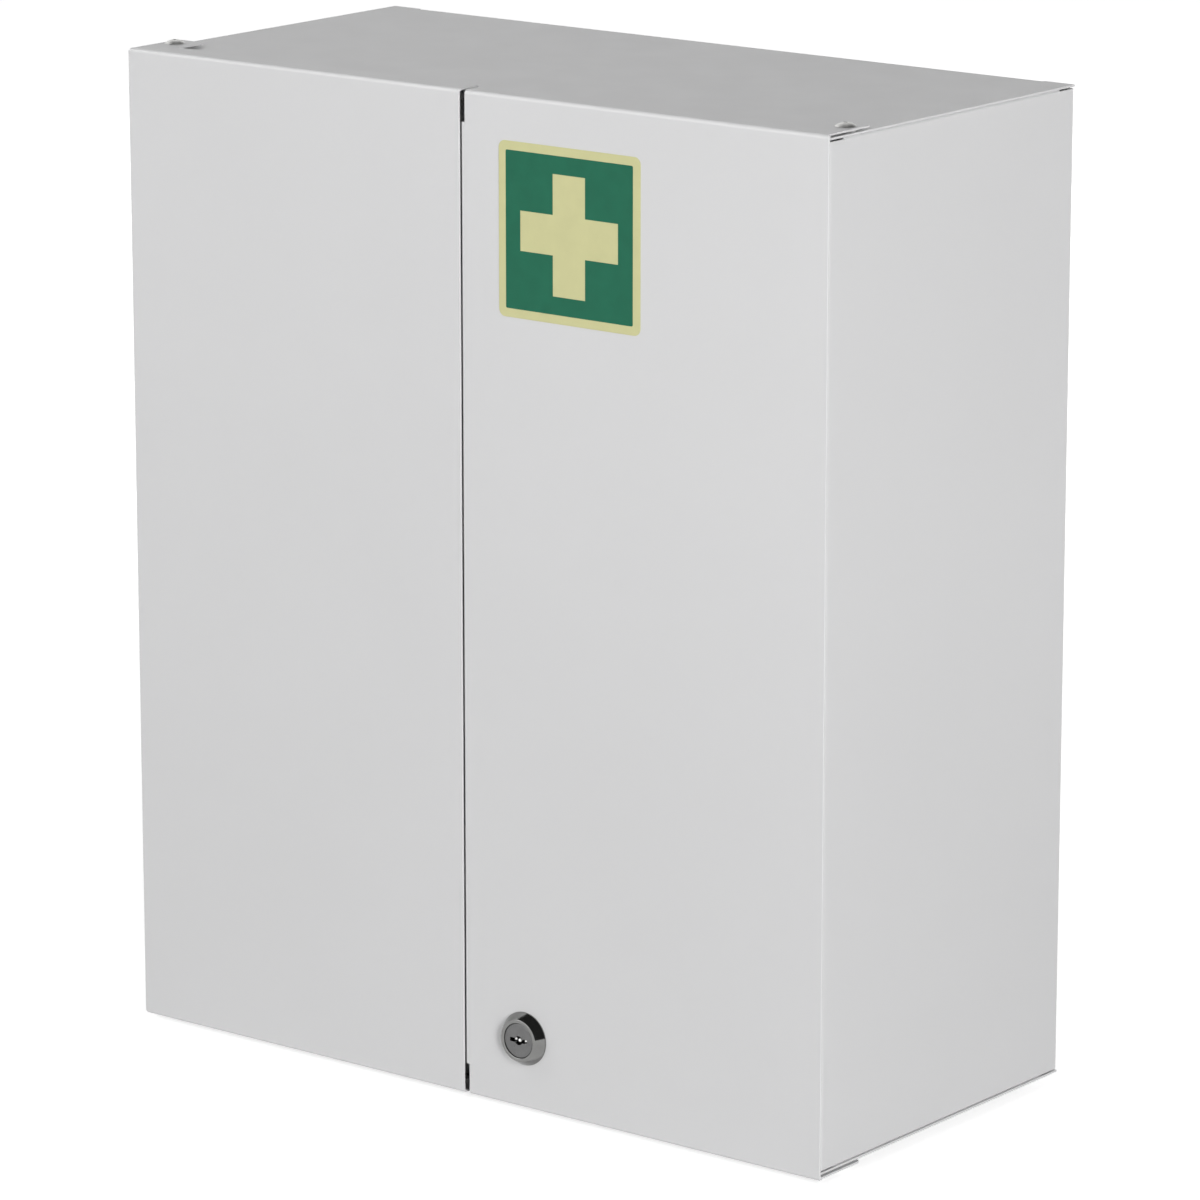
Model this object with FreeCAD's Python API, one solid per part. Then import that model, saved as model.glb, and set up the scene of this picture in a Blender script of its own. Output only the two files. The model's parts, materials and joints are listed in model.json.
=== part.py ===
import FreeCAD, Part
import math
import os

# Millimetres throughout. The front faces -Y, up is +Z, the wall is the plane y = 0,
# and the origin is the middle of the wall hole pattern on the rear face.

V = FreeCAD.Vector
X_DIR = V(1, 0, 0)
Y_DIR = V(0, 1, 0)
Z_DIR = V(0, 0, 1)
LEFT = V(-1, 0, 0)
FORWARD = V(0, -1, 0)
DOWN = V(0, 0, -1)

# Overall sizes and sheet
width = 420.0
height = 490.0
depth = 200.0
sheet = 1.0
bend_outer = 2.0
bend_inner = bend_outer - sheet

# Clearances between the doors and the carcass
flange_gap = 1.1
door_gap = 1.5
side_inset = 2.0
split_gap = 0.5
running_gap = 0.05
pivot_end_gap = 0.1
barrel_gap = 0.15
shelf_side_gap = 1.0
shelf_rear_gap = 1.0
rest_gap = 0.3

# Carcass flanges and corner reliefs
front_return = 12.0
rear_return = 15.0
top_return = 12.0
relief_length = 12.0
relief_slit = 0.8
rear_tab = 12.0
rear_tab_gap = 2.0
back_inset = 3.0
panel_setback = 9.0
ear_width = 30.0

# Wall holes
wall_hole_from_side = 60.0
wall_hole_from_end = 45.0
wall_hole_radius = 3.5

# Doors
door_flange = 15.0
tab_width = 19.0
tab_depth = 35.0
tab_round = 2.5
corner_round = 1.7
split_left_edge = -2.6
return_depth = 14.5
return_relief_height = 15.3
return_relief_extra = 0.7
stiffener_foot = 15.0
stiffener_leg = 15.0
stiffener_edge_gap = 2.5
stiffener_depth = 11.5
stiffener_end_gap = 9.0

# Pivots
pivot_from_edge = 8.5
pivot_from_front = 24.5
rivet_head_radius = 5.1
rivet_head_rise = 1.9
rivet_shank_radius = 2.4
rivet_bulb_radius = 3.4
rivet_bulb_length = 4.0
rivet_hole_radius = 1.1
rivet_hole_depth = 3.0
washer_radius = 5.0

# Stop rails behind the doors
rail_height = 20.0
rail_foot = 15.0
rail_flange_gap = 1.0
rail_end_gap = 1.0

# Shelves and runners
lower_shelf_level = -81.0
upper_shelf_level = 80.0
shelf_front_setback = 32.0
shelf_front_lip = 18.0
shelf_rear_lip = 12.0
runner_leg = 12.0
runner_front_setback = 6.0
runner_rear_gap = 8.0

# Buffers and magnet catch
buffer_radius = 3.0
buffer_inset = 4.0
buffer_tall_x = -12.0
buffer_low_x = -1.0
catch_height = 14.0
catch_left = -40.0
catch_right = -5.0
catch_lift = 1.5
catch_round = 1.5
magnet_width = 12.0
magnet_height = 10.0
magnet_edge = 2.5
magnet_floor = 0.8
catch_rivet_radius = 1.5
catch_rivet_head_radius = 2.6
catch_rivet_head_rise = 0.6
catch_rivet_spacing = 9.0
catch_rivet_edge = 4.5

# Lock
lock_x = 34.8
lock_from_bottom = 35.0
bezel_base_radius = 13.25
bezel_front_radius = 10.4
bezel_rise = 4.9
bezel_round = 0.4
barrel_radius = 9.0
barrel_tail = 16.5
plug_head_radius = 8.6
plug_head_depth = 3.2
plug_recess = 0.3
plug_chamfer = 0.35
plug_shaft_radius = 6.0
plug_shaft_over = 0.5
square_side = 7.0
square_short = 0.2
keyway_width = 10.4
keyway_height = 2.0
keyway_depth = 6.0
keyway_eye_radius = 2.2
pin_radius = 1.3
pin_setback = 0.6
wafer_width = 1.4
wafer_height = 1.4
wafer_offset = 3.0
wafer_setback = 2.0
cam_length = 25.0
cam_width = 12.0
cam_sheet = 2.0
cam_washer_radius = 6.0
cam_washer_sheet = 1.0
cam_screw_radius = 2.0
cam_screw_length = 8.0
cam_screw_head_radius = 4.2
cam_screw_head_depth = 2.2
cam_screw_slot = 1.1
cam_screw_slot_depth = 1.2
nut_across_flats = 23.0
nut_depth = 4.0

# Sign
sign_x = 62.8
sign_from_bottom = 427.3
sign_side = 83.0
sign_round = 3.5
sign_sheet = 0.3
field_side = 74.6
field_round = 0.8
field_sheet = 0.1
cross_side = 57.4
cross_arm = 19.0

# Derived levels and planes
half_width = width / 2
half_height = height / 2
front = -depth
door_inner = front + sheet
body_half_width = half_width - side_inset
body_inner_half = body_half_width - sheet
body_half_height = half_height - sheet - flange_gap
panel_under = body_half_height - sheet
flange_under = panel_under - sheet
body_front = door_inner + door_gap
back_front = -sheet
pivot_x = half_width - pivot_from_edge
pivot_y = front + pivot_from_front
right_edge = split_left_edge + split_gap
rail_front = front + return_depth + rail_flange_gap
lock_z = lock_from_bottom - half_height
barrel_end = door_inner + barrel_tail
cam_front = barrel_end + plug_shaft_over
cam_rear = cam_front + cam_sheet


# Plain box between two corners
def block(x0, x1, y0, y1, z0, z1):
    return Part.makeBox(x1 - x0, y1 - y0, z1 - z0, V(x0, y0, z0))


# One solid from several touching ones
def join(shapes):
    whole = shapes[0].fuse(shapes[1:])
    return whole.removeSplitter().Solids[0]


# Mirror copies across the middle planes
def flip_x(shape):
    return shape.mirror(V(0, 0, 0), X_DIR)


def flip_z(shape):
    return shape.mirror(V(0, 0, 0), Z_DIR)


# Straight edge between two points, or nothing where they fall together
def line(start, end):
    return [] if start.isEqual(end, running_gap) else [Part.makeLine(start, end)]


# Bent sheet strip: two legs that meet in a rounded outer corner
def bent_strip(corner, leg_a, dir_a, leg_b, dir_b, run):
    def at(a, b):
        return corner + dir_a * a + dir_b * b
    slant = math.cos(math.pi / 4)
    outer_mid = bend_outer - bend_outer * slant
    inner_mid = bend_outer - bend_inner * slant
    edges = line(at(leg_a, 0), at(bend_outer, 0))
    edges.append(Part.Arc(at(bend_outer, 0), at(outer_mid, outer_mid), at(0, bend_outer)).toShape())
    edges += line(at(0, bend_outer), at(0, leg_b))
    edges += line(at(0, leg_b), at(sheet, leg_b))
    edges += line(at(sheet, leg_b), at(sheet, bend_outer))
    edges.append(Part.Arc(at(sheet, bend_outer), at(inner_mid, inner_mid), at(bend_outer, sheet)).toShape())
    edges += line(at(bend_outer, sheet), at(leg_a, sheet))
    edges += line(at(leg_a, sheet), at(leg_a, 0))
    return Part.Face(Part.Wire(edges)).extrude(run)


# Box whose edges along one direction are rounded, all of them or those past a level
def round_edges(shape, radius, axis, keep=None):
    chosen = []
    for edge in shape.Edges:
        ends = [v.Point for v in edge.Vertexes]
        if len(ends) != 2:
            continue
        along = ends[1] - ends[0]
        if abs(along.dot(axis)) < along.Length * math.cos(math.pi / 4):
            continue
        if keep is None or keep(edge.CenterOfMass):
            chosen.append(edge)
    return shape.makeFillet(radius, chosen)


# Side panel with four inward returns; the right one is drawn, the left one mirrored
def side_panel():
    x_out = body_half_width
    y0 = body_front
    y1 = back_front
    z1 = panel_under
    z_plain = z1 - relief_slit
    y_run0 = y0 + relief_length
    y_run1 = y1 - relief_length
    crown = block(x_out - sheet, x_out, y_run0, y_run1, bend_outer - z1, z1 - bend_outer)
    ends = block(x_out - sheet, x_out, y0 + bend_outer, y_run0, -z_plain, z_plain)
    tail = block(x_out - sheet, x_out, y_run1, y1 - bend_outer, -z_plain, z_plain)
    front_strip = bent_strip(V(x_out, y0, -z_plain), bend_outer, Y_DIR, front_return, LEFT,
                             Z_DIR * (z_plain + z_plain))
    rear_strip = bent_strip(V(x_out, y1, -z_plain), bend_outer, FORWARD, rear_return, LEFT,
                            Z_DIR * (z_plain + z_plain))
    top_strip = bent_strip(V(x_out, y_run0, z1), bend_outer, DOWN, top_return, LEFT,
                           Y_DIR * (y_run1 - y_run0))
    low_strip = flip_z(top_strip)
    body = join([crown, ends, tail, front_strip, rear_strip, top_strip, low_strip])
    for level in (z1 - bend_outer, -z1):
        body = body.cut(Part.makeCylinder(rivet_shank_radius, bend_outer, V(pivot_x, pivot_y, level)))
    return body


# Top panel with a short rear tab, set back between its two front ears; the bottom panel is its mirror
def top_panel():
    x1 = body_half_width
    y0 = body_front
    y1 = back_front
    tab_half = x1 - rear_return - rear_tab_gap
    plate = block(-x1, x1, y0, y1 - bend_outer, panel_under, body_half_height)
    left_end = block(-x1, -tab_half, y1 - bend_outer, y1, panel_under, body_half_height)
    right_end = flip_x(left_end)
    tab = bent_strip(V(-tab_half, y1, body_half_height), bend_outer, FORWARD, rear_tab, DOWN,
                     X_DIR * (tab_half + tab_half))
    body = join([plate, left_end, right_end, tab])
    ear = x1 - ear_width
    body = body.cut(block(-ear, ear, y0, y0 + panel_setback, panel_under, body_half_height))
    for side in (-pivot_x, pivot_x):
        body = body.cut(Part.makeCylinder(rivet_shank_radius, sheet, V(side, pivot_y, panel_under)))
    return body


# Back panel against the wall with its four holes
def back_panel():
    x1 = body_half_width - back_inset
    z1 = body_half_height - back_inset
    hole_x = half_width - wall_hole_from_side
    hole_z = half_height - wall_hole_from_end
    body = block(-x1, x1, back_front, 0, -z1, z1)
    for x in (-hole_x, hole_x):
        for z in (-hole_z, hole_z):
            body = body.cut(Part.makeCylinder(wall_hole_radius, sheet, V(x, back_front, z), Y_DIR))
    return body


# Angle rail under the top panel that stops the doors; the bottom one also keeps the cam
def top_rail():
    half = body_half_width - top_return - rail_end_gap
    return bent_strip(V(-half, rail_front, panel_under), rail_foot, Y_DIR, rail_height, DOWN,
                      X_DIR * (half + half))


# Domed blind rivet that is the pivot of a door, at the upper right corner
def pivot_rivet():
    seat = half_height + pivot_end_gap
    ball = (rivet_head_radius ** 2 + rivet_head_rise ** 2) / (2 * rivet_head_rise)
    foot = V(pivot_x, pivot_y, seat)
    dome = Part.makeSphere(ball, V(pivot_x, pivot_y, seat + rivet_head_rise - ball))
    head = dome.common(Part.makeCylinder(rivet_head_radius, rivet_head_rise, foot))
    shank = Part.makeCylinder(rivet_shank_radius, seat - flange_under, foot, DOWN)
    bulb = Part.makeCylinder(rivet_bulb_radius, rivet_bulb_length, V(pivot_x, pivot_y, flange_under), DOWN)
    body = join([head, shank, bulb])
    hole = Part.makeCylinder(rivet_hole_radius, rivet_hole_depth, V(pivot_x, pivot_y, seat + rivet_head_rise), DOWN)
    return body.cut(hole)


# Washer that carries the door tab clear of the top panel
def pivot_washer():
    foot = V(pivot_x, pivot_y, body_half_height)
    rise = flange_gap - pivot_end_gap
    ring = Part.makeCylinder(washer_radius, rise, foot)
    return ring.cut(Part.makeCylinder(rivet_shank_radius, rise, foot))


# Shelf with a front lip turned down and a rear lip turned up
def shelf(level):
    x1 = body_inner_half - shelf_side_gap
    y0 = front + shelf_front_setback
    y1 = back_front - sheet - shelf_rear_gap
    plate = block(-x1, x1, y0 + bend_outer, y1 - bend_outer, level, level + sheet)
    front_lip = bent_strip(V(-x1, y0, level + sheet), bend_outer, Y_DIR, shelf_front_lip, DOWN,
                           X_DIR * (x1 + x1))
    rear_lip = bent_strip(V(-x1, y1, level), bend_outer, FORWARD, shelf_rear_lip, Z_DIR,
                          X_DIR * (x1 + x1))
    return join([plate, front_lip, rear_lip])


# Angle runner on a side wall that a shelf rests on
def runners(level):
    y0 = front + shelf_front_setback + runner_front_setback
    y1 = back_front - sheet - runner_rear_gap
    right = bent_strip(V(body_inner_half, y0, level), runner_leg, DOWN, runner_leg, LEFT,
                       Y_DIR * (y1 - y0))
    return Part.makeCompound([flip_x(right), right])


# Hinge tab of a door at the upper right corner, in from the door's edge by the corner's rounding
def door_tab():
    tab = block(half_width - tab_width, half_width - corner_round, front + bend_outer, front + tab_depth,
                half_height - sheet, half_height)
    return round_edges(tab, tab_round, Z_DIR, lambda p: p.y > pivot_y)


# Rounding of a door's upper outer corner, as the piece to cut away
def corner_cut():
    x0 = half_width - corner_round
    z0 = half_height - corner_round
    corner = block(x0, half_width, front, front + bend_outer, z0, half_height)
    return corner.cut(Part.makeCylinder(corner_round, bend_outer, V(x0, front, z0), Y_DIR))


# Outer end of a door's upper flange, cut back to the line of its tab
def flange_end_cut():
    return block(half_width - corner_round, half_width, front + bend_outer, front + door_flange,
                 half_height - sheet, half_height)


# Cuts of a door whose hinge is on the right: its pivot holes, outer corners and flange ends
def door_cuts():
    radius = rivet_shank_radius + running_gap
    hole = Part.makeCylinder(radius, sheet, V(pivot_x, pivot_y, half_height - sheet))
    upper = [hole, corner_cut(), flange_end_cut()]
    return upper + [flip_z(cut) for cut in upper]


# Right door: pan with top and bottom flanges, hinge tabs and a return at the meeting edge
def right_door():
    x0 = right_edge + bend_outer
    x_relief = x0 + return_relief_extra
    z1 = half_height
    run = z1 - return_relief_height
    plate = block(x_relief, half_width, front, door_inner, bend_outer - z1, z1 - bend_outer)
    filler = block(x0, x_relief, front, door_inner, -run, run)
    edge = bent_strip(V(right_edge, front, -run), bend_outer, X_DIR, return_depth, Y_DIR, Z_DIR * (run + run))
    flange = bent_strip(V(x_relief, front, z1), bend_outer, DOWN, door_flange, Y_DIR,
                        X_DIR * (half_width - x_relief))
    tab = door_tab()
    body = join([plate, filler, edge, flange, flip_z(flange), tab, flip_z(tab)])
    for cut in door_cuts():
        body = body.cut(cut)
    return body.cut(Part.makeCylinder(barrel_radius + barrel_gap, sheet, V(lock_x, front, lock_z), Y_DIR))


# Left door: the same pan with a plain meeting edge
def left_door():
    z1 = half_height
    x1 = -split_left_edge
    plate = block(x1, half_width, front, door_inner, bend_outer - z1, z1 - bend_outer)
    flange = bent_strip(V(x1, front, z1), bend_outer, DOWN, door_flange, Y_DIR, X_DIR * (half_width - x1))
    tab = door_tab()
    body = join([plate, flange, flip_z(flange), tab, flip_z(tab)])
    for cut in door_cuts():
        body = body.cut(cut)
    return flip_x(body)


# Folded stiffener inside the left door along its meeting edge
def left_stiffener():
    z1 = half_height - stiffener_end_gap
    x_leg_end = split_left_edge - stiffener_edge_gap
    x_web = x_leg_end - stiffener_leg
    rise = Z_DIR * (z1 + z1)
    foot = bent_strip(V(x_web + sheet, door_inner, -z1), stiffener_foot, LEFT, stiffener_depth - bend_outer, Y_DIR,
                      rise)
    leg = bent_strip(V(x_web, door_inner + stiffener_depth, -z1), stiffener_depth - bend_outer, FORWARD,
                     stiffener_leg, X_DIR, rise)
    return join([foot, leg])


# Rubber buffers on the stop rails: low ones for the right door, a tall one for the left
def door_buffers():
    level = panel_under - rail_height + buffer_inset
    low = rail_flange_gap - rest_gap
    tall = rail_front - door_inner - stiffener_depth - rest_gap
    right_top = Part.makeCylinder(buffer_radius, low, V(buffer_low_x, rail_front, level), FORWARD)
    left_low = Part.makeCylinder(buffer_radius, tall, V(buffer_tall_x, rail_front, -level), FORWARD)
    return Part.makeCompound([right_top, flip_z(right_top), left_low])


# Vertical limits of the magnet catch on the top rail
def catch_levels():
    z0 = panel_under - rail_height + catch_lift
    return z0, z0 + catch_height


# Places of the two rivets of the magnet catch
def catch_rivet_places():
    z0, z1 = catch_levels()
    x0 = catch_left + catch_rivet_edge
    return [V(x0, rail_front, (z0 + z1) / 2), V(x0 + catch_rivet_spacing, rail_front, (z0 + z1) / 2)]


# Pocket of the magnet, open to the door
def magnet_block():
    z0, z1 = catch_levels()
    reach = rail_front - door_inner - stiffener_depth - rest_gap
    x1 = catch_right - magnet_edge
    middle = (z0 + z1) / 2
    return block(x1 - magnet_width, x1, rail_front - reach, rail_front - magnet_floor,
                 middle - magnet_height / 2, middle + magnet_height / 2)


# Plastic case of the magnet catch
def magnet_case():
    z0, z1 = catch_levels()
    reach = rail_front - door_inner - stiffener_depth - rest_gap
    case = block(catch_left, catch_right, rail_front - reach, rail_front, z0, z1)
    case = round_edges(case, catch_round, Y_DIR)
    case = case.cut(magnet_block())
    for place in catch_rivet_places():
        case = case.cut(Part.makeCylinder(catch_rivet_radius, reach, place, FORWARD))
    return case


# Rivets that hold the case on the rail
def catch_rivets():
    reach = rail_front - door_inner - stiffener_depth - rest_gap
    solids = []
    for place in catch_rivet_places():
        shank = Part.makeCylinder(catch_rivet_radius, reach + sheet, place + Y_DIR * sheet, FORWARD)
        top = place + FORWARD * reach
        ball = (catch_rivet_head_radius ** 2 + catch_rivet_head_rise ** 2) / (2 * catch_rivet_head_rise)
        dome = Part.makeSphere(ball, top + FORWARD * (catch_rivet_head_rise - ball))
        head = dome.common(Part.makeCylinder(catch_rivet_head_radius, catch_rivet_head_rise, top, FORWARD))
        tail = Part.makeCylinder(catch_rivet_head_radius, catch_rivet_head_rise, place + Y_DIR * sheet, Y_DIR)
        solids.append(join([shank, head, tail]))
    return Part.makeCompound(solids)


# Top rail with the holes of the catch rivets
def drilled_top_rail():
    body = top_rail()
    for place in catch_rivet_places():
        body = body.cut(Part.makeCylinder(catch_rivet_radius, sheet, place, Y_DIR))
    return body


# Lock housing: coned bezel on the door and the barrel through it
def lock_housing():
    axis = V(lock_x, front, lock_z)
    cone = Part.makeCone(bezel_base_radius, bezel_front_radius, bezel_rise, axis, FORWARD)
    rim = [e for e in cone.Edges if abs(e.CenterOfMass.y - front + bezel_rise) < bezel_round]
    cone = cone.makeFillet(bezel_round, [e for e in rim if len(e.Vertexes) == 1])
    barrel = Part.makeCylinder(barrel_radius, barrel_end - front, axis, Y_DIR)
    body = join([cone, barrel])
    face = V(lock_x, front - bezel_rise, lock_z)
    seat_depth = plug_recess + plug_head_depth + running_gap
    body = body.cut(Part.makeCylinder(plug_head_radius + running_gap, seat_depth, face, Y_DIR))
    bore = Part.makeCylinder(plug_shaft_radius + running_gap, barrel_end - front + bezel_rise, face, Y_DIR)
    return body.cut(bore)


# Six-sided nut behind the door
def lock_nut():
    corner = nut_across_flats / math.sqrt(3)
    points = []
    for step in range(7):
        turn = math.radians(60 * step + 30)
        points.append(V(lock_x + corner * math.cos(turn), door_inner, lock_z + corner * math.sin(turn)))
    hexagon = Part.Face(Part.makePolygon(points)).extrude(Y_DIR * nut_depth)
    return hexagon.cut(Part.makeCylinder(barrel_radius, nut_depth, V(lock_x, door_inner, lock_z), Y_DIR))


# Turning plug with its keyway, lying level as seen from the front
def lock_plug():
    face_y = front - bezel_rise + plug_recess
    face = V(lock_x, face_y, lock_z)
    head = Part.makeCylinder(plug_head_radius, plug_head_depth, face, Y_DIR)
    rim = [e for e in head.Edges if len(e.Vertexes) == 1 and abs(e.CenterOfMass.y - face_y) < plug_chamfer]
    head = head.makeChamfer(plug_chamfer, rim)
    shaft = Part.makeCylinder(plug_shaft_radius, cam_front - face_y, face, Y_DIR)
    half = square_side / 2
    stub = block(lock_x - half, lock_x + half, cam_front, cam_rear - square_short, lock_z - half, lock_z + half)
    body = join([head, shaft, stub])
    slot = block(lock_x - keyway_width / 2, lock_x + keyway_width / 2, face_y, face_y + keyway_depth,
                 lock_z - keyway_height / 2, lock_z + keyway_height / 2)
    eye = Part.makeCylinder(keyway_eye_radius, keyway_depth, face, Y_DIR)
    body = body.cut(slot.fuse(eye))
    drill = Part.makeCylinder(cam_screw_radius, cam_screw_length, V(lock_x, cam_rear - square_short, lock_z), FORWARD)
    return body.cut(drill)


# Round-nosed pin in the middle of the keyway and a flat wafer on each side of it
def lock_wafers():
    face_y = front - bezel_rise + plug_recess
    end_y = face_y + keyway_depth
    nose_y = face_y + pin_setback + pin_radius
    pin = Part.makeCylinder(pin_radius, end_y - nose_y, V(lock_x, nose_y, lock_z), Y_DIR)
    nose = Part.makeSphere(pin_radius, V(lock_x, nose_y, lock_z))
    solids = [join([pin, nose])]
    for x in (lock_x - wafer_offset, lock_x + wafer_offset):
        solids.append(block(x - wafer_width / 2, x + wafer_width / 2, face_y + wafer_setback, end_y,
                            lock_z - wafer_height / 2, lock_z + wafer_height / 2))
    return Part.makeCompound(solids)


# Flat cam on the square of the plug, pointing to the middle of the cabinet at rest
def lock_cam():
    half = cam_width / 2
    tip = lock_x - cam_length + half
    bar = block(tip, lock_x, cam_front, cam_rear, lock_z - half, lock_z + half)
    tip_end = Part.makeCylinder(half, cam_sheet, V(tip, cam_front, lock_z), Y_DIR)
    hub = Part.makeCylinder(half, cam_sheet, V(lock_x, cam_front, lock_z), Y_DIR)
    body = join([bar, tip_end, hub])
    side = square_side / 2
    return body.cut(block(lock_x - side, lock_x + side, cam_front, cam_rear, lock_z - side, lock_z + side))


# Washer between the cam and its screw
def cam_washer():
    foot = V(lock_x, cam_rear, lock_z)
    ring = Part.makeCylinder(cam_washer_radius, cam_washer_sheet, foot, Y_DIR)
    return ring.cut(Part.makeCylinder(cam_screw_radius, cam_washer_sheet, foot, Y_DIR))


# Slotted screw that holds the cam
def cam_screw():
    seat = V(lock_x, cam_rear + cam_washer_sheet, lock_z)
    reach = cam_screw_length + square_short + cam_washer_sheet
    shank = Part.makeCylinder(cam_screw_radius, reach, seat, FORWARD)
    head = Part.makeCylinder(cam_screw_head_radius, cam_screw_head_depth, seat, Y_DIR)
    body = join([shank, head])
    top = seat.y + cam_screw_head_depth
    slot = block(lock_x - cam_screw_head_radius, lock_x + cam_screw_head_radius, top - cam_screw_slot_depth, top,
                 lock_z - cam_screw_slot / 2, lock_z + cam_screw_slot / 2)
    return body.cut(slot)


# Square sheet of the sign with rounded corners, between two depths
def sign_square(side, corner, y0, y1):
    z = sign_from_bottom - half_height
    body = block(sign_x - side / 2, sign_x + side / 2, y0, y1, z - side / 2, z + side / 2)
    return round_edges(body, corner, Y_DIR)


# Green field with the cross cut out of it, so that the pale sheet shows through
def sign_field():
    z = sign_from_bottom - half_height
    y1 = front - sign_sheet
    y0 = y1 - field_sheet
    body = sign_square(field_side, field_round, y0, y1)
    long = cross_side / 2
    arm = cross_arm / 2
    bar = block(sign_x - long, sign_x + long, y0, y1, z - arm, z + arm)
    post = block(sign_x - arm, sign_x + arm, y0, y1, z - long, z + long)
    return body.cut(bar.fuse(post))


# One file for each piece
os.makedirs("parts", exist_ok=True)
right_side = side_panel()
top = top_panel()
rivet = pivot_rivet()
washer = pivot_washer()
right_rivets = [rivet, flip_z(rivet)]
right_washers = [washer, flip_z(washer)]

pieces = {
    "left_side_panel": flip_x(right_side),
    "right_side_panel": right_side,
    "back_panel": back_panel(),
    "top_panel": top,
    "bottom_panel": flip_z(top),
    "top_stop_rail": drilled_top_rail(),
    "bottom_stop_rail": flip_z(top_rail()),
    "left_pivot_rivets": Part.makeCompound([flip_x(s) for s in right_rivets]),
    "right_pivot_rivets": Part.makeCompound(right_rivets),
    "left_pivot_washers": Part.makeCompound([flip_x(s) for s in right_washers]),
    "right_pivot_washers": Part.makeCompound(right_washers),
    "upper_shelf": shelf(upper_shelf_level),
    "lower_shelf": shelf(lower_shelf_level),
    "upper_shelf_runners": runners(upper_shelf_level),
    "lower_shelf_runners": runners(lower_shelf_level),
    "door_buffers": door_buffers(),
    "magnet_case": magnet_case(),
    "magnet": magnet_block(),
    "catch_rivets": catch_rivets(),
    "left_door_panel": left_door(),
    "left_door_stiffener": left_stiffener(),
    "right_door_panel": right_door(),
    "lock_housing": lock_housing(),
    "lock_nut": lock_nut(),
    "sign_backing": sign_square(sign_side, sign_round, front - sign_sheet, front),
    "sign_green_field": sign_field(),
    "lock_plug": lock_plug(),
    "lock_wafers": lock_wafers(),
    "lock_cam": lock_cam(),
    "cam_washer": cam_washer(),
    "cam_screw": cam_screw(),
}

for name, shape in pieces.items():
    shape.exportStep(os.path.join("parts", name + ".step"))
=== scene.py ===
import json
import math

import bmesh
import bpy
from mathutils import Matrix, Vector
from mathutils.bvhtree import BVHTree


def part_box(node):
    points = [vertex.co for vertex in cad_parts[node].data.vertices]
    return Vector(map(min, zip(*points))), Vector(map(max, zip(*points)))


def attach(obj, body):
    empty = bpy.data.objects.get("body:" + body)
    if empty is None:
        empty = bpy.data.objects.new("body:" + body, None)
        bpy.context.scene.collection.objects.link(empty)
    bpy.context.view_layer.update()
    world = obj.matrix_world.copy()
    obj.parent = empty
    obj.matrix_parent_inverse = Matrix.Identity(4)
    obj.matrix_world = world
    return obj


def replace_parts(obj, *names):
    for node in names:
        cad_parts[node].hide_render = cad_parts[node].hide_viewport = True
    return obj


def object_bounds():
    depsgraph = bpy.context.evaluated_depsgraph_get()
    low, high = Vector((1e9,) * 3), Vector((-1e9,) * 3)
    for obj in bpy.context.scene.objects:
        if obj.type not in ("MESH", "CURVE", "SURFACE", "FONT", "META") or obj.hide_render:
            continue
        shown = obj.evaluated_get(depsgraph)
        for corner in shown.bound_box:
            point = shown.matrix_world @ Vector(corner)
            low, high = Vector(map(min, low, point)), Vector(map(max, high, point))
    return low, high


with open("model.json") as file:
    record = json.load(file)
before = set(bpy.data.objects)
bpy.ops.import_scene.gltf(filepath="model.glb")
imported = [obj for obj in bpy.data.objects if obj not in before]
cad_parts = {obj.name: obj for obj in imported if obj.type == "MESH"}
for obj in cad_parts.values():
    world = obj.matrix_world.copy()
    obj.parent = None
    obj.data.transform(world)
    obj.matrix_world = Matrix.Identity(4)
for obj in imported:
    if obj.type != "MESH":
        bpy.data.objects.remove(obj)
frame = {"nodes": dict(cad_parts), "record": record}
cad_box = [list(corner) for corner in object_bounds()]
nodes = frame["nodes"]
scene = bpy.context.scene
body_of = {node: body for body, names in frame["record"]["behaviour"]["bodies"].items() for node in names}
back_low, back_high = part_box("back_panel")
sheet = back_high.y - back_low.y

# Broken edges, in metres, and the angles that tell flats, corners and smooth faces apart
sheet_edge = 0.00025
inner_edge = 0.00022
part_edge = 0.00030
fine_edge = 0.00012
print_edge = 0.00003
edge_segments = 2
weld_gap = 0.000001
joined_angle = math.radians(0.6)
corner_angle = math.radians(40)
smooth_angle = math.radians(35)
flat_cosine = math.cos(math.radians(4))

# Lock bezel and pivot rivets, in metres
bezel_nose_radius = 0.0104
bezel_foot_edge = 0.0004
bezel_foot_round = 0.00025
bezel_nose_round = 0.0002
bezel_lip_round = 0.0004
bezel_seat_depth = 0.0036
barrel_radius = 0.0090
barrel_bore = 0.00605
plug_gap = 0.00005
rivet_end_gap = 0.0001
rivet_rim_round = 0.0002
rivet_hole_radius = 0.0011
rivet_hole_round = 0.0003
rivet_hole_depth = 0.0030
rivet_shank_radius = 0.0024
rivet_bulb_radius = 0.0034
rivet_bulb_length = 0.0040
rivet_bulb_round = 0.0008
mandrel_depth = 0.0004
mandrel_gap = 0.00006
mandrel_round = 0.0002
dome_steps = 8
corner_steps = 5
bezel_steps = 128
rivet_steps = 64
mandrel_steps = 32

# Noise: the part of its range that is used, and grains per metre for each finish
noise_low = 0.3
noise_high = 0.7
soft_detail = 2.0
fair_detail = 3.0
rich_detail = 4.0
coat_cloud = 7.0
coat_gloss = 55.0
coat_peel = 620.0
plate_cloud = 160.0
plate_lines = 420.0
vinyl_cloud = 90.0
vinyl_gloss = 240.0
vinyl_peel = 900.0
grain_gloss_share = 0.6
grain_relief_share = 2.2

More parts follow.
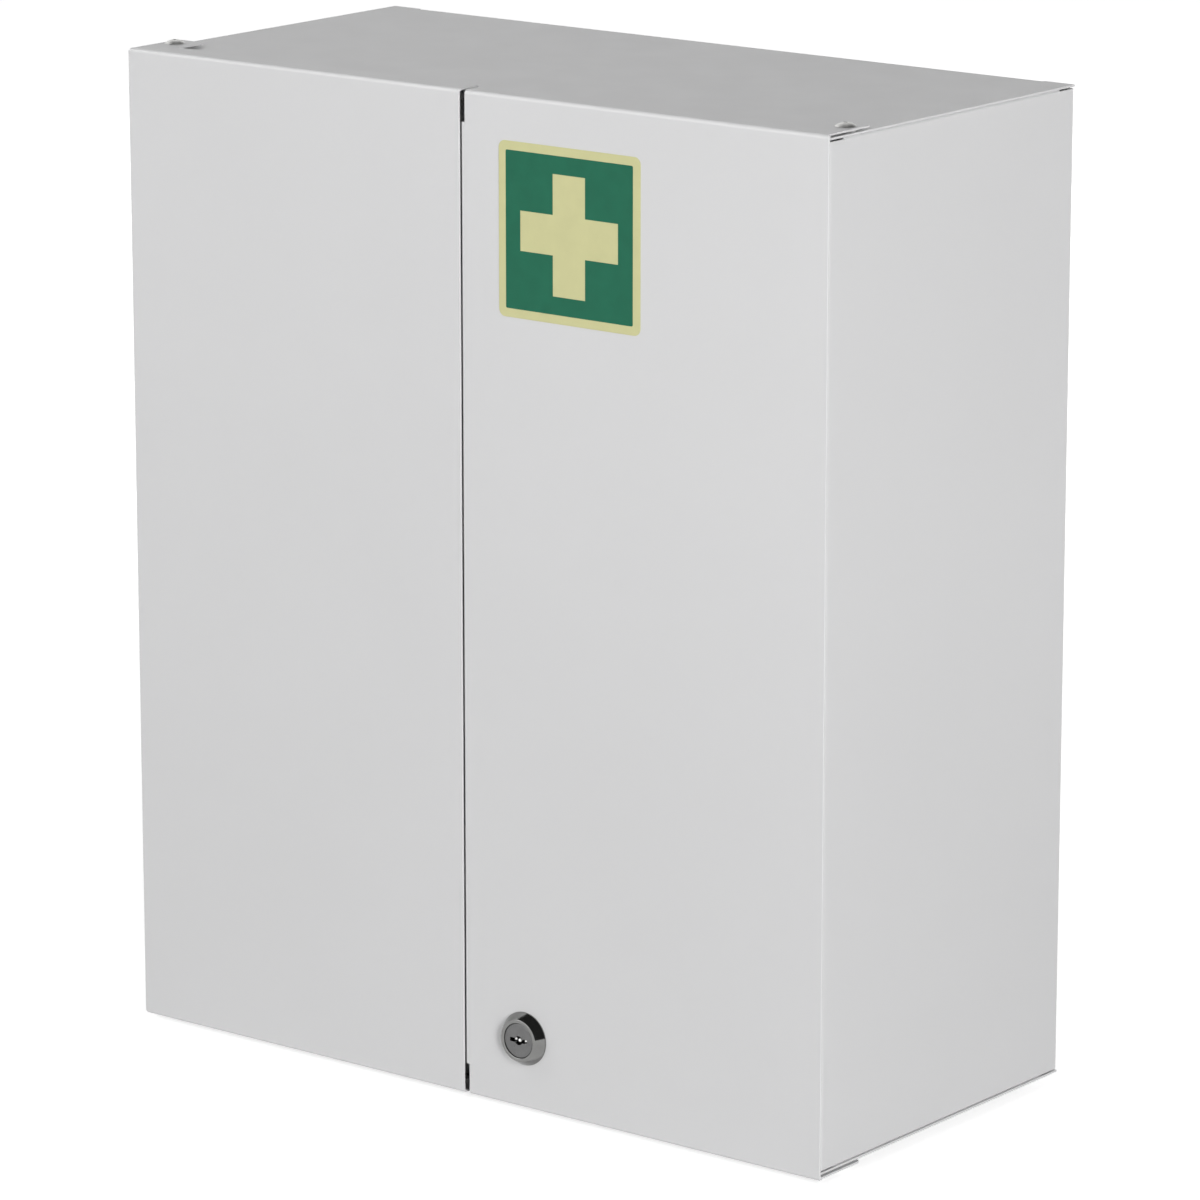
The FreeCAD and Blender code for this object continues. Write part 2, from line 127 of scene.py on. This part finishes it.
# Tone drift as a share of the colour, gloss drift, and relief strength and depth in metres
coat_drift = 0.020
coat_gloss_drift = (-0.02, 0.03)
coat_relief = (0.07, 0.00012)
plate_drift = 0.14
plate_gloss_drift = (-0.05, 0.09)
plate_depth = 0.00005
vinyl_gloss_drift = (-0.05, 0.06)
vinyl_relief = (0.08, 0.00006)
vinyl_specular = 0.12
grain_gloss_drift = (-0.06, 0.06)
grain_depth = 0.00015

# Floor and room, in metres
floor_reach = 12.0
floor_gap = 0.0002
floor_tone = 0.62
floor_rough = 0.9
near_glow = 0.70
far_glow = 0.90
near_reach = 0.35
far_reach = 1.50
sky_fill = 0.12

# Dark places of the room as mirrors show it: directions, and leans to them where dark starts or ends
white_level = 1.0
dark_level = 0.05
dark_side = Vector((0.55, -0.45, 0.70))
dark_start = 0.06
dark_end = 0.20
strip_pole = Vector((-0.239, -0.966, -0.100))
strip_start = 0.28
strip_end = 0.42
corner_side = Vector((0.30, 0.60, 0.74))
corner_start = 0.80
corner_end = 0.92

# Soft boxes: azimuth and elevation in degrees, distance, width and height in metres, watts,
# and whether mirrors show them, which the strong ones would fill with glare
front_box = (-22, 16, 2.6, 1.6, 1.8, 15, True)
right_box = (55.5, 13, 4.0, 1.0, 2.4, 121, False)
left_high_box = (-56, 42, 2.6, 0.6, 1.4, 10, True)
left_box = (-112, 6, 2.8, 1.0, 0.9, 22, False)
back_box = (178, 6, 3.0, 1.2, 0.9, 40, False)

# Camera
camera_azimuth = math.radians(38.09)
camera_elevation = math.radians(13.75)
camera_reach = 2.991
camera_lens = 184.3
camera_sensor = 36.0
camera_aim = Vector((0.0023, -0.0999, -0.0181))


# New material with its node tree and shader
def material(name):
    mat = bpy.data.materials.new(name)
    mat.use_nodes = True
    tree = mat.node_tree
    return mat, tree, tree.nodes["Principled BSDF"]


# Node with its settings
def add(tree, kind, **values):
    node = tree.nodes.new(kind)
    for key, value in values.items():
        setattr(node, key, value)
    return node


# Noise in the object's own metres, drawn out along an axis where asked
def noise(tree, scale, detail=soft_detail, stretch=None):
    coords = add(tree, "ShaderNodeTexCoord")
    tex = add(tree, "ShaderNodeTexNoise")
    tex.inputs["Scale"].default_value = scale
    tex.inputs["Detail"].default_value = detail
    source = coords.outputs["Object"]
    if stretch:
        mapping = add(tree, "ShaderNodeMapping")
        mapping.inputs["Scale"].default_value = stretch
        tree.links.new(source, mapping.inputs["Vector"])
        source = mapping.outputs["Vector"]
    tree.links.new(source, tex.inputs["Vector"])
    return tex.outputs["Fac"]


# Two tones of one colour, mixed by a noise
def tones(tree, fac, colour, drift):
    node = add(tree, "ShaderNodeValToRGB")
    low, high = node.color_ramp.elements
    low.position = noise_low
    high.position = noise_high
    low.color = [c * (1.0 - drift) for c in colour] + [1.0]
    high.color = list(colour) + [1.0]
    tree.links.new(fac, node.inputs["Fac"])
    return node.outputs["Color"]


# Value that drifts with a noise
def spread(tree, fac, middle, drift):
    node = add(tree, "ShaderNodeMapRange")
    node.inputs["From Min"].default_value = noise_low
    node.inputs["From Max"].default_value = noise_high
    node.inputs["To Min"].default_value = middle + drift[0]
    node.inputs["To Max"].default_value = middle + drift[1]
    tree.links.new(fac, node.inputs["Value"])
    return node.outputs["Result"]


# Fine relief from a noise
def relief(tree, bsdf, height, strength, distance):
    node = add(tree, "ShaderNodeBump")
    node.inputs["Strength"].default_value = strength
    node.inputs["Distance"].default_value = distance
    tree.links.new(height, node.inputs["Height"])
    tree.links.new(node.outputs["Normal"], bsdf.inputs["Normal"])


# Powder coat: faint tone drift and a fine orange-peel skin
def powder_coat(name, colour, rough):
    mat, tree, bsdf = material(name)
    cloud = noise(tree, coat_cloud, fair_detail)
    tree.links.new(tones(tree, cloud, colour, coat_drift), bsdf.inputs["Base Color"])
    gloss = noise(tree, coat_gloss)
    tree.links.new(spread(tree, gloss, rough, coat_gloss_drift), bsdf.inputs["Roughness"])
    relief(tree, bsdf, noise(tree, coat_peel), *coat_relief)
    return mat


# Plated metal: cloudy tone, fine brushing and changing gloss
def plated(name, colour, rough, stretch, brushing=0.05):
    mat, tree, bsdf = material(name)
    bsdf.inputs["Metallic"].default_value = 1.0
    cloud = noise(tree, plate_cloud, rich_detail)
    tree.links.new(tones(tree, cloud, colour, plate_drift), bsdf.inputs["Base Color"])
    lines = noise(tree, plate_lines, fair_detail, stretch)
    tree.links.new(spread(tree, lines, rough, plate_gloss_drift), bsdf.inputs["Roughness"])
    relief(tree, bsdf, lines, brushing, plate_depth)
    return mat


# Printed vinyl: slight mottle and a soft skin
def vinyl(name, colour, rough, drift):
    mat, tree, bsdf = material(name)
    bsdf.inputs["Specular IOR Level"].default_value = vinyl_specular
    cloud = noise(tree, vinyl_cloud, rich_detail)
    tree.links.new(tones(tree, cloud, colour, drift), bsdf.inputs["Base Color"])
    gloss = noise(tree, vinyl_gloss)
    tree.links.new(spread(tree, gloss, rough, vinyl_gloss_drift), bsdf.inputs["Roughness"])
    relief(tree, bsdf, noise(tree, vinyl_peel), *vinyl_relief)
    return mat


# Rubber, moulded plastic and sintered magnet: grainy matt surfaces
def grainy(name, colour, rough, grain, drift, strength):
    mat, tree, bsdf = material(name)
    cloud = noise(tree, grain, rich_detail)
    tree.links.new(tones(tree, cloud, colour, drift), bsdf.inputs["Base Color"])
    gloss = noise(tree, grain * grain_gloss_share)
    tree.links.new(spread(tree, gloss, rough, grain_gloss_drift), bsdf.inputs["Roughness"])
    relief(tree, bsdf, noise(tree, grain * grain_relief_share, fair_detail), strength, grain_depth)
    return mat


coat = powder_coat("white_coat", colour=(0.70, 0.70, 0.705), rough=0.38)
# Lighter than the white coat: a painted highlight on the bends, with a glossier finish
coat_bend_highlight = powder_coat("bend_coat_painted_highlight", colour=(0.76, 0.76, 0.765), rough=0.24)
coat_inner = powder_coat("inner_coat", colour=(0.67, 0.67, 0.675), rough=0.44)

nickel = plated("polished_nickel", colour=(0.24, 0.24, 0.235), rough=0.08, stretch=(1, 6, 1), brushing=0.02)
plug_metal = plated("satin_nickel", colour=(0.165, 0.165, 0.165), rough=0.30, stretch=(8, 1, 1), brushing=0.1)
pin_metal = plated("pin_steel", colour=(0.80, 0.80, 0.79), rough=0.14, stretch=(1, 1, 6))
zinc = plated("zinc_plate", colour=(0.62, 0.62, 0.61), rough=0.40, stretch=(1, 1, 5))
rivet_metal = plated("rivet_satin", colour=(0.80, 0.80, 0.78), rough=0.42, stretch=(1, 1, 5))
# Near-black steel: the mandrel's metal, darkened as painted shade for the rivet hole
mandrel_steel_and_hole_shade = plated("mandrel_steel_and_hole_shade", colour=(0.09, 0.09, 0.09), rough=0.45, stretch=(1, 1, 3))
zinc_warm = plated("cam_zinc", colour=(0.52, 0.51, 0.47), rough=0.33, stretch=(1, 5, 1))

rubber = grainy("buffer_rubber", (0.035, 0.035, 0.037), rough=0.72, grain=500.0, drift=0.35, strength=0.25)
case_plastic = grainy("catch_plastic", (0.60, 0.60, 0.58), rough=0.48, grain=420.0, drift=0.06, strength=0.12)
ferrite = grainy("magnet_ferrite", (0.075, 0.075, 0.08), rough=0.62, grain=700.0, drift=0.35, strength=0.30)

sign_pale = vinyl("sign_pale", colour=(0.67, 0.655, 0.35), rough=0.42, drift=0.05)
sign_green = vinyl("sign_green", colour=(0.018, 0.150, 0.086), rough=0.40, drift=0.10)


# Smooth faces with the hard corners kept
def shade(mesh):
    for poly in mesh.polygons:
        poly.use_smooth = True
    mesh.set_sharp_from_angle(angle=smooth_angle)


# Mesh as a piece that rides on a body
def piece(name, mesh, mat, body):
    obj = bpy.data.objects.new(name, mesh)
    scene.collection.objects.link(obj)
    mesh.materials.clear()
    mesh.materials.append(mat)
    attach(obj, body)
    return obj


# Points that left the surface they came from go back to it
def keep_close(mesh, surface, reach):
    for vertex in mesh.vertices:
        place, normal, face, gap = surface.find_nearest(vertex.co)
        if gap > reach:
            vertex.co = place


# Node's mesh with flat faces joined, and its surface for later
def joined_faces(node):
    mesh = nodes[node].data.copy()
    bm = bmesh.new()
    bm.from_mesh(mesh)
    bmesh.ops.remove_doubles(bm, verts=bm.verts, dist=weld_gap)
    surface = BVHTree.FromBMesh(bm)
    bmesh.ops.dissolve_limit(bm, angle_limit=joined_angle, verts=bm.verts, edges=bm.edges)
    bm.to_mesh(mesh)
    bm.free()
    shade(mesh)
    return mesh, surface


# Bends and broken edges, where the coat runs thin, get a glossier finish than the flats, and a lighter tone
# that is a painted highlight along them
def finish_bends_with_highlight(mesh, mat):
    mesh.materials.append(mat)
    for poly in mesh.polygons:
        if max(abs(part) for part in poly.normal) < flat_cosine:
            poly.material_index = 1


# Piece with its cut edges broken, in the shape of the node that it stands for
def broken_edges(node, mat, width):
    mesh, surface = joined_faces(node)
    raw = bpy.data.objects.new(node + "_raw", mesh)
    scene.collection.objects.link(raw)
    bevel = raw.modifiers.new("edge", "BEVEL")
    bevel.width = width
    bevel.segments = edge_segments
    bevel.limit_method = "ANGLE"
    bevel.angle_limit = corner_angle
    bevel.use_clamp_overlap = False
    weigh = raw.modifiers.new("weigh", "WEIGHTED_NORMAL")
    weigh.keep_sharp = True
    final = bpy.data.meshes.new_from_object(raw.evaluated_get(bpy.context.evaluated_depsgraph_get()))
    bpy.data.objects.remove(raw)
    keep_close(final, surface, width / 2)
    final.name = node + "_finished"
    result = piece(node + "_finished", final, mat, body_of[node])
    if mat is coat:
        finish_bends_with_highlight(final, coat_bend_highlight)
    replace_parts(result, node)


# Profile of (radius, distance along the axis, rounding) points with its corners rounded
def rounded_profile(points):
    corners = [Vector((radius, along)) for radius, along, rounding in points]
    profile = [corners[0]]
    for before, here, after, point in zip(corners, corners[1:], corners[2:], points[1:]):
        rounding = point[2]
        if not rounding:
            profile.append(here)
            continue
        start = here + (before - here).normalized() * rounding
        end = here + (after - here).normalized() * rounding
        for step in range(corner_steps + 1):
            t = step / corner_steps
            profile.append(start * (1 - t) ** 2 + here * 2 * t * (1 - t) + end * t ** 2)
    profile.append(corners[-1])
    return profile


# Turned piece about an axis from a profile, which is closed where it stays off the axis
def turned(name, profile, centre, axis, mat, body, steps):
    axis = Vector(axis)
    side = axis.orthogonal().normalized()
    other = axis.cross(side)
    bm = bmesh.new()
    rings = []
    for radius, along in profile:
        base = Vector(centre) + axis * along
        turns = [2 * math.pi * step / steps for step in range(steps if radius else 1)]
        spokes = [side * math.cos(turn) + other * math.sin(turn) for turn in turns]
        rings.append([bm.verts.new(base + spoke * radius) for spoke in spokes])
    pairs = list(zip(rings, rings[1:]))
    if len(rings[0]) > 1 and len(rings[-1]) > 1:
        pairs.append((rings[-1], rings[0]))
    for first, second in pairs:
        for step in range(steps):
            after = (step + 1) % steps
            corners = [first[step % len(first)], first[after % len(first)],
                       second[after % len(second)], second[step % len(second)]]
            corners = list(dict.fromkeys(corners))
            if len(corners) > 2:
                bm.faces.new(corners)
    bmesh.ops.recalc_face_normals(bm, faces=bm.faces)
    mesh = bpy.data.meshes.new(name)
    bm.to_mesh(mesh)
    bm.free()
    shade(mesh)
    return piece(name, mesh, mat, body)


# Lock housing: soft foot, straight cone, rounded nose, plug seat and bored barrel
def lock_housing():
    low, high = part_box("lock_housing")
    door_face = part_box("right_door_panel")[0].y
    plug_low, plug_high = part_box("lock_plug")
    base = (high.x - low.x) / 2
    rise = door_face - low.y
    tail = door_face - high.y
    seat = (plug_high.x - plug_low.x) / 2 + plug_gap
    profile = rounded_profile([
        (barrel_bore, tail, 0),
        (barrel_radius, tail, 0),
        (barrel_radius, 0, 0),
        (base, 0, 0),
        (base, bezel_foot_edge, bezel_foot_round),
        (bezel_nose_radius, rise, bezel_nose_round),
        (seat, rise, bezel_lip_round),
        (seat, rise - bezel_seat_depth, 0),
        (barrel_bore, rise - bezel_seat_depth, 0),
    ])
    centre = ((low.x + high.x) / 2, door_face, (low.z + high.z) / 2)
    return turned("lock_housing_turned", profile, centre, (0, -1, 0), nickel, "right_door", bezel_steps)


# Pivot rivet: domed head with a hole, shank and set bulb, and the end of its mandrel in the hole; the
# near-black mandrel end and the dark hole wall are painted shade inside the hole
def pivot_rivet(side, end, way):
    low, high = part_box(side + "_pivot_rivets")
    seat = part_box(side + "_door_panel")[1].z + rivet_end_gap
    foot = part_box(side + "_side_panel")[1].z - sheet
    head = (high.x - low.x) / 2
    rim = high.z - seat
    sink = (head ** 2 - rivet_hole_radius ** 2 - rim ** 2) / (2 * rim)
    floor = high.z - rivet_hole_depth
    points = [(0.0, floor, 0), (rivet_hole_radius, floor, 0)]
    for step in range(dome_steps + 1):
        radius = rivet_hole_radius + (head - rivet_hole_radius) * step / dome_steps
        rounding = rivet_hole_round if step == 0 else 0
        points.append((radius, seat - sink + math.sqrt(head ** 2 + sink ** 2 - radius ** 2), rounding))
    points += [
        (rivet_shank_radius, seat, 0),
        (rivet_shank_radius, foot, 0),
        (rivet_bulb_radius, foot, rivet_rim_round),
        (rivet_bulb_radius, foot - rivet_bulb_length, rivet_bulb_round),
        (0.0, foot - rivet_bulb_length, 0),
    ]
    stem = rivet_hole_radius - mandrel_gap
    stem_points = [
        (0.0, floor, 0),
        (stem, floor, 0),
        (stem, high.z - mandrel_depth - mandrel_round, mandrel_round),
        (0.0, high.z - mandrel_depth, 0),
    ]
    centre = ((low.x + high.x) / 2, (low.y + high.y) / 2, 0.0)
    axis = (0, 0, way)
    name = side + "_" + end
    stem_profile = rounded_profile(stem_points)
    mandrel = turned(name + "_mandrel", stem_profile, centre, axis, mandrel_steel_and_hole_shade, "cabinet", mandrel_steps)
    profile = rounded_profile(points)
    rivet = turned(name + "_rivet", profile, centre, axis, rivet_metal, "cabinet", rivet_steps)
    # The hole's wall takes the dark mandrel finish: painted shade inside the hole
    rivet.data.materials.append(mandrel_steel_and_hole_shade)
    for poly in rivet.data.polygons:
        if (poly.center.xy - Vector(centre).xy).length < rivet_hole_radius:
            poly.material_index = 1
    return rivet


finishes = {
    "left_door_panel": (coat, sheet_edge),
    "right_door_panel": (coat, sheet_edge),
    "left_side_panel": (coat, sheet_edge),
    "right_side_panel": (coat, sheet_edge),
    "top_panel": (coat, sheet_edge),
    "bottom_panel": (coat, sheet_edge),
    "back_panel": (coat_inner, inner_edge),
    "top_stop_rail": (coat_inner, inner_edge),
    "bottom_stop_rail": (coat_inner, inner_edge),
    "upper_shelf": (coat_inner, inner_edge),
    "lower_shelf": (coat_inner, inner_edge),
    "upper_shelf_runners": (coat_inner, inner_edge),
    "lower_shelf_runners": (coat_inner, inner_edge),
    "left_door_stiffener": (coat_inner, inner_edge),
    "left_pivot_washers": (zinc, fine_edge),
    "right_pivot_washers": (zinc, fine_edge),
    "catch_rivets": (zinc, fine_edge),
    "magnet_case": (case_plastic, part_edge),
    "magnet": (ferrite, fine_edge),
    "door_buffers": (rubber, part_edge),
    "sign_backing": (sign_pale, print_edge),
    "sign_green_field": (sign_green, print_edge),
    "lock_nut": (zinc_warm, part_edge),
    "lock_plug": (plug_metal, fine_edge),
    "lock_wafers": (pin_metal, fine_edge),
    "lock_cam": (zinc_warm, part_edge),
    "cam_washer": (zinc_warm, fine_edge),
    "cam_screw": (zinc_warm, part_edge),
}
for node, (finish, edge) in finishes.items():
    broken_edges(node, finish, edge)

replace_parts(lock_housing(), "lock_housing")
for side in ("left", "right"):
    for end, way in (("upper", 1), ("lower", -1)):
        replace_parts(pivot_rivet(side, end, way), side + "_pivot_rivets")


# Sum, product, larger or smaller of two values
def combine(tree, operation, first, second):
    node = add(tree, "ShaderNodeMath", operation=operation)
    tree.links.new(first, node.inputs[0])
    tree.links.new(second, node.inputs[1])
    return node.outputs[0]


# True where a ray shows the background: straight to the camera, or by a mirror or glass
def seen_rays(tree, outputs):
    path = add(tree, "ShaderNodeLightPath")
    seen = path.outputs[outputs[0]]
    for output in outputs[1:]:
        seen = combine(tree, "MAXIMUM", seen, path.outputs[output])
    return seen


# Soft step from one level to another
def soft_step(tree, value, start, end, first, last):
    node = add(tree, "ShaderNodeMapRange", interpolation_type="SMOOTHSTEP")
    node.inputs["From Min"].default_value = start
    node.inputs["From Max"].default_value = end
    node.inputs["To Min"].default_value = first
    node.inputs["To Max"].default_value = last
    tree.links.new(value, node.inputs["Value"])
    return node.outputs["Result"]


# Pale floor under the object, whiter to the eye away from it, where no shadow falls
def pale_floor():
    level = cad_box[0][2] - floor_gap
    corners = [(x * floor_reach, y * floor_reach, level) for x, y in ((-1, -1), (1, -1), (1, 1), (-1, 1))]
    mesh = bpy.data.meshes.new("floor")
    mesh.from_pydata(corners, [], [(0, 1, 2, 3)])
    floor = bpy.data.objects.new("floor", mesh)
    scene.collection.objects.link(floor)
    mat, tree, bsdf = material("floor_pale")
    bsdf.inputs["Base Color"].default_value = (floor_tone, floor_tone, floor_tone, 1)
    bsdf.inputs["Roughness"].default_value = floor_rough
    bsdf.inputs["Specular IOR Level"].default_value = 0.0
    bsdf.inputs["Emission Color"].default_value = (1, 1, 1, 1)
    coords = add(tree, "ShaderNodeTexCoord")
    away = add(tree, "ShaderNodeVectorMath", operation="LENGTH")
    tree.links.new(coords.outputs["Object"], away.inputs[0])
    glow = soft_step(tree, away.outputs["Value"], near_reach, far_reach, near_glow, far_glow)
    seen = seen_rays(tree, ("Is Camera Ray", "Is Glossy Ray"))
    tree.links.new(combine(tree, "MULTIPLY", seen, glow), bsdf.inputs["Emission Strength"])
    mesh.materials.append(mat)


# How far the seen direction leans to an axis
def lean(tree, coords, axis):
    node = add(tree, "ShaderNodeVectorMath", operation="DOT_PRODUCT")
    node.inputs[1].default_value = axis
    tree.links.new(coords.outputs["Generated"], node.inputs[0])
    return node.outputs["Value"]


# Studio room: white to the camera, a soft fill on the object, and a dark strip and corner in mirrors
def studio_world():
    world = bpy.data.worlds.new("studio")
    scene.world = world
    world.use_nodes = True
    tree = world.node_tree
    background = tree.nodes["Background"]
    background.inputs["Color"].default_value = (1, 1, 1, 1)
    coords = add(tree, "ShaderNodeTexCoord")
    off_strip = add(tree, "ShaderNodeMath", operation="ABSOLUTE")
    tree.links.new(lean(tree, coords, strip_pole), off_strip.inputs[0])
    side = soft_step(tree, lean(tree, coords, dark_side), dark_start, dark_end, white_level, dark_level)
    strip = soft_step(tree, off_strip.outputs[0], strip_start, strip_end, dark_level, white_level)
    corner_lean = lean(tree, coords, corner_side)
    corner = soft_step(tree, corner_lean, corner_start, corner_end, white_level, dark_level)
    room = combine(tree, "MINIMUM", corner, combine(tree, "MAXIMUM", side, strip))
    level = add(tree, "ShaderNodeMix", data_type="FLOAT")
    level.inputs["A"].default_value = sky_fill
    tree.links.new(room, level.inputs["B"])
    tree.links.new(seen_rays(tree, ("Is Glossy Ray", "Is Transmission Ray")), level.inputs["Factor"])
    strength = combine(tree, "MAXIMUM", level.outputs["Result"], seen_rays(tree, ("Is Camera Ray",)))
    tree.links.new(strength, background.inputs["Strength"])


# Soft box that looks at the middle of the object
def softbox(name, azimuth, elevation, distance, width, height, power, mirrored):
    turn = math.radians(azimuth)
    tilt = math.radians(elevation)
    away = Vector((math.sin(turn) * math.cos(tilt), -math.cos(turn) * math.cos(tilt), math.sin(tilt)))
    data = bpy.data.lights.new(name, "AREA")
    data.shape = "RECTANGLE"
    data.size = width
    data.size_y = height
    data.energy = power
    lamp = bpy.data.objects.new(name, data)
    lamp.visible_glossy = mirrored
    lamp.location = camera_aim + away * distance
    lamp.rotation_euler = (-away).to_track_quat("-Z", "Y").to_euler()
    scene.collection.objects.link(lamp)


# Camera at the photograph's viewing angle
def photo_camera():
    away = Vector((math.sin(camera_azimuth) * math.cos(camera_elevation),
                   -math.cos(camera_azimuth) * math.cos(camera_elevation), math.sin(camera_elevation)))
    data = bpy.data.cameras.new("camera")
    data.sensor_width = camera_sensor
    data.lens = camera_lens
    camera = bpy.data.objects.new("camera", data)
    camera.location = camera_aim + away * camera_reach
    camera.rotation_euler = (-away).to_track_quat("-Z", "Y").to_euler()
    scene.collection.objects.link(camera)
    scene.camera = camera


pale_floor()
studio_world()
softbox("front_box", *front_box)
softbox("right_box", *right_box)
softbox("left_high_box", *left_high_box)
softbox("left_box", *left_box)
softbox("back_box", *back_box)
photo_camera()
scene.view_settings.view_transform = "Standard"
